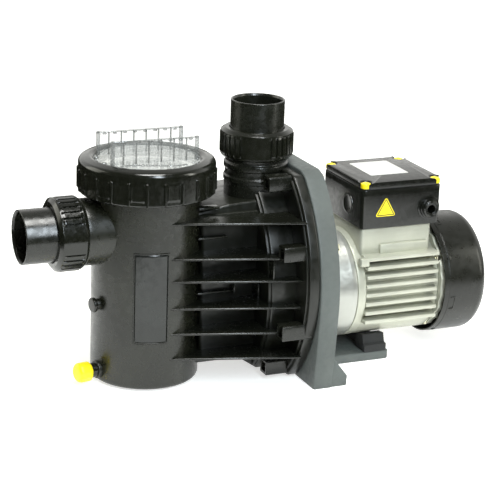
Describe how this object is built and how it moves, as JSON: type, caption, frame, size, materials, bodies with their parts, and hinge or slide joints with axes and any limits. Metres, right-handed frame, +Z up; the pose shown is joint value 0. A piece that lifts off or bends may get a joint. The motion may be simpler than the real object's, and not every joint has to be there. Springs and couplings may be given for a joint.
{
  "type": "pool pump",
  "caption": "Electric swimming-pool circulation pump: clear-lid strainer tank, union ports, ribbed black casing, flange plate and finned motor.",
  "frame": {"origin": "on the ground, in the middle of the flange plate's foot, under the shaft", "axes": "+X along the shaft from the suction port to the motor, +Z up, +Y away from the side with the drain plug and cable gland"},
  "size_m": [0.573, 0.252, 0.324],
  "materials": {
    "casing_plastic": "satin moulded black",
    "inner_plastic": "moulded black, inside",
    "basket_plastic": "light grey moulded",
    "cowl_plastic": "smooth satin black",
    "nut_plastic": "glossy black",
    "box_plastic": "glossy black",
    "clear_lid": "clear moulded plastic",
    "yellow_plastic": "bright yellow",
    "flange_grey": "dark grey, semi-matt",
    "motor_aluminium": "die-cast, painted light silver grey",
    "copper_wire": "enamelled copper windings",
    "steel": "turned and ground",
    "zinc_plate": "zinc plated",
    "carbon": "lapped carbon",
    "seal_ceramic": "lapped ceramic",
    "black_rubber": "black rubber"
  },
  "bodies": {
    "root": {"pump_casing": "casing_plastic", "flange_plate": "flange_grey", "casing_bolt_near_1": "zinc_plate", "casing_bolt_near_2": "zinc_plate", "casing_bolt_near_3": "zinc_plate", "casing_bolt_near_4": "zinc_plate", "casing_bolt_far_1": "zinc_plate", "casing_bolt_far_2": "zinc_plate", "casing_bolt_far_3": "zinc_plate", "casing_bolt_far_4": "zinc_plate", "casing_oring": "black_rubber", "seal_plate": "inner_plastic", "seal_seat": "seal_ceramic", "diffuser": "inner_plastic", "lid_oring": "black_rubber", "suction_oring": "black_rubber", "discharge_oring": "black_rubber", "drain_oring": "black_rubber", "front_shield": "motor_aluminium", "rear_shield": "motor_aluminium", "motor_housing": "motor_aluminium", "stator_core": "steel", "front_winding": "copper_wire", "rear_winding": "copper_wire", "front_bearing_outer": "steel", "rear_bearing_outer": "steel", "fan_cowl": "cowl_plastic", "motor_support": "black_rubber", "terminal_box": "box_plastic", "terminal_gasket": "black_rubber", "terminal_block": "basket_plastic", "run_capacitor": "basket_plastic"},
    "rotor": {"motor_shaft": "steel", "rotor_core": "steel", "impeller": "inner_plastic", "impeller_nut": "steel", "seal_face": "carbon", "seal_spring": "steel", "water_slinger": "black_rubber", "front_bearing_inner": "steel", "rear_bearing_inner": "steel", "cooling_fan": "inner_plastic"},
    "front_cage": {"front_bearing_cage": "steel"},
    "rear_cage": {"rear_bearing_cage": "steel"},
    "lid": {"tank_lid": "clear_lid"},
    "lid_ring": {"lid_ring": "nut_plastic"},
    "basket": {"strainer_basket": "basket_plastic"},
    "suction_pipe_end": {"suction_spigot": "casing_plastic"},
    "suction_nut": {"suction_union_nut": "nut_plastic"},
    "discharge_pipe_end": {"discharge_spigot": "casing_plastic"},
    "discharge_nut": {"discharge_union_nut": "nut_plastic"},
    "drain": {"drain_plug": "yellow_plastic"},
    "side": {"side_plug": "nut_plastic"},
    "gland": {"cable_gland": "box_plastic"},
    "box_lid": {"terminal_lid": "box_plastic"},
    "screw_1": {"lid_screw_1": "yellow_plastic"},
    "screw_2": {"lid_screw_2": "yellow_plastic"},
    "screw_3": {"lid_screw_3": "yellow_plastic"},
    "screw_4": {"lid_screw_4": "yellow_plastic"}
  },
  "joints": [
    {"name": "rotor_spin", "type": "hinge", "parent": "root", "child": "rotor", "pos_m": [0, 0, 0.09], "axis": [1, 0, 0], "continuous": true},
    {"name": "front_cage_spin", "type": "hinge", "parent": "root", "child": "front_cage", "pos_m": [0.016, 0, 0.09], "axis": [1, 0, 0], "continuous": true},
    {"name": "rear_cage_spin", "type": "hinge", "parent": "root", "child": "rear_cage", "pos_m": [0.166, 0, 0.09], "axis": [1, 0, 0], "continuous": true},
    {"name": "lid_lift", "type": "slide", "parent": "root", "child": "lid", "axis": [0, 0, 1], "range_m": [0, 0.25]},
    {"name": "lid_ring_turn", "type": "hinge", "parent": "lid", "child": "lid_ring", "pos_m": [-0.191, 0, 0.248], "axis": [0, 0, 1], "range_deg": [0, 120]},
    {"name": "basket_lift", "type": "slide", "parent": "root", "child": "basket", "axis": [0, 0, 1], "range_m": [0, 0.2]},
    {"name": "suction_pull", "type": "slide", "parent": "root", "child": "suction_pipe_end", "axis": [-1, 0, 0], "range_m": [0, 0.03]},
    {"name": "suction_nut_turn", "type": "hinge", "parent": "suction_pipe_end", "child": "suction_nut", "pos_m": [-0.29, 0, 0.1813], "axis": [-1, 0, 0], "range_deg": [0, 720]},
    {"name": "discharge_pull", "type": "slide", "parent": "root", "child": "discharge_pipe_end", "axis": [0, 0, 1], "range_m": [0, 0.03]},
    {"name": "discharge_nut_turn", "type": "hinge", "parent": "discharge_pipe_end", "child": "discharge_nut", "pos_m": [-0.055, 0, 0.274], "axis": [0, 0, 1], "range_deg": [0, 720]},
    {"name": "drain_plug_turn", "type": "hinge", "parent": "root", "child": "drain", "pos_m": [-0.25301, -0.01318, 0.017], "axis": [-0.9781, -0.2079, 0], "range_deg": [0, 720]},
    {"name": "side_plug_turn", "type": "hinge", "parent": "root", "child": "side", "pos_m": [-0.25301, -0.01318, 0.097], "axis": [-0.9781, -0.2079, 0], "range_deg": [0, 720]},
    {"name": "gland_turn", "type": "hinge", "parent": "root", "child": "gland", "pos_m": [0.1505, -0.0535, 0.19], "axis": [0, -1, 0], "range_deg": [0, 720]},
    {"name": "terminal_lid_lift", "type": "slide", "parent": "root", "child": "box_lid", "axis": [0, 0, 1], "range_m": [0, 0.06]},
    {"name": "lid_screw_1_turn", "type": "hinge", "parent": "box_lid", "child": "screw_1", "pos_m": [0.0675, -0.047, 0.222], "axis": [0, 0, 1], "range_deg": [0, 720]},
    {"name": "lid_screw_2_turn", "type": "hinge", "parent": "box_lid", "child": "screw_2", "pos_m": [0.1605, -0.047, 0.222], "axis": [0, 0, 1], "range_deg": [0, 720]},
    {"name": "lid_screw_3_turn", "type": "hinge", "parent": "box_lid", "child": "screw_3", "pos_m": [0.0675, 0.047, 0.222], "axis": [0, 0, 1], "range_deg": [0, 720]},
    {"name": "lid_screw_4_turn", "type": "hinge", "parent": "box_lid", "child": "screw_4", "pos_m": [0.1605, 0.047, 0.222], "axis": [0, 0, 1], "range_deg": [0, 720]}
  ],
  "couplings": [
    {"joint": "front_cage_spin", "follows": "rotor_spin", "ratio": 0.4},
    {"joint": "rear_cage_spin", "follows": "rotor_spin", "ratio": 0.4},
    {"joint": "basket_lift", "follows": "lid_lift", "ratio": 0.8}
  ]
}
